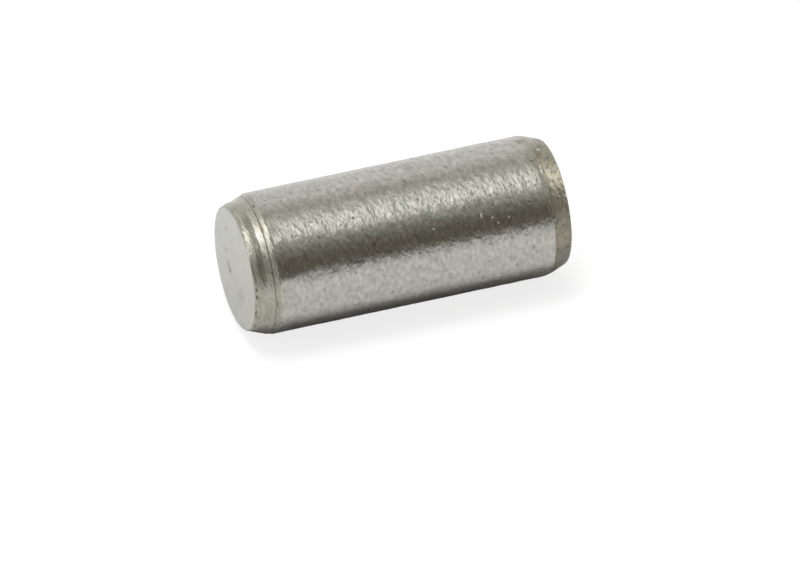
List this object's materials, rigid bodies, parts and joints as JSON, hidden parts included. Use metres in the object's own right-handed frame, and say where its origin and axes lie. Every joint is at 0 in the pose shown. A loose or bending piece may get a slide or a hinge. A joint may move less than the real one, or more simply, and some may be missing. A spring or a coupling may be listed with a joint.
{
  "type": "dowel pin",
  "caption": "Round steel dowel pin with flat ends, a turned lead-in cone and narrow shoulder band at the top and a plain chamfer at the foot, for locating mating parts by a press fit.",
  "frame": {"origin": "centre of the flat face of the foot end, on the surface that the pin stands on", "axes": "+Z along the pin's axis, from the foot end to the lead end; X and Y are any two square directions across it"},
  "size_m": [0.006, 0.006, 0.014],
  "materials": {
    "steel": "ground shank with a fine speckled grain, smoother turned ends"
  },
  "bodies": {
    "root": {"dowel_pin": "steel"}
  },
  "joints": []
}
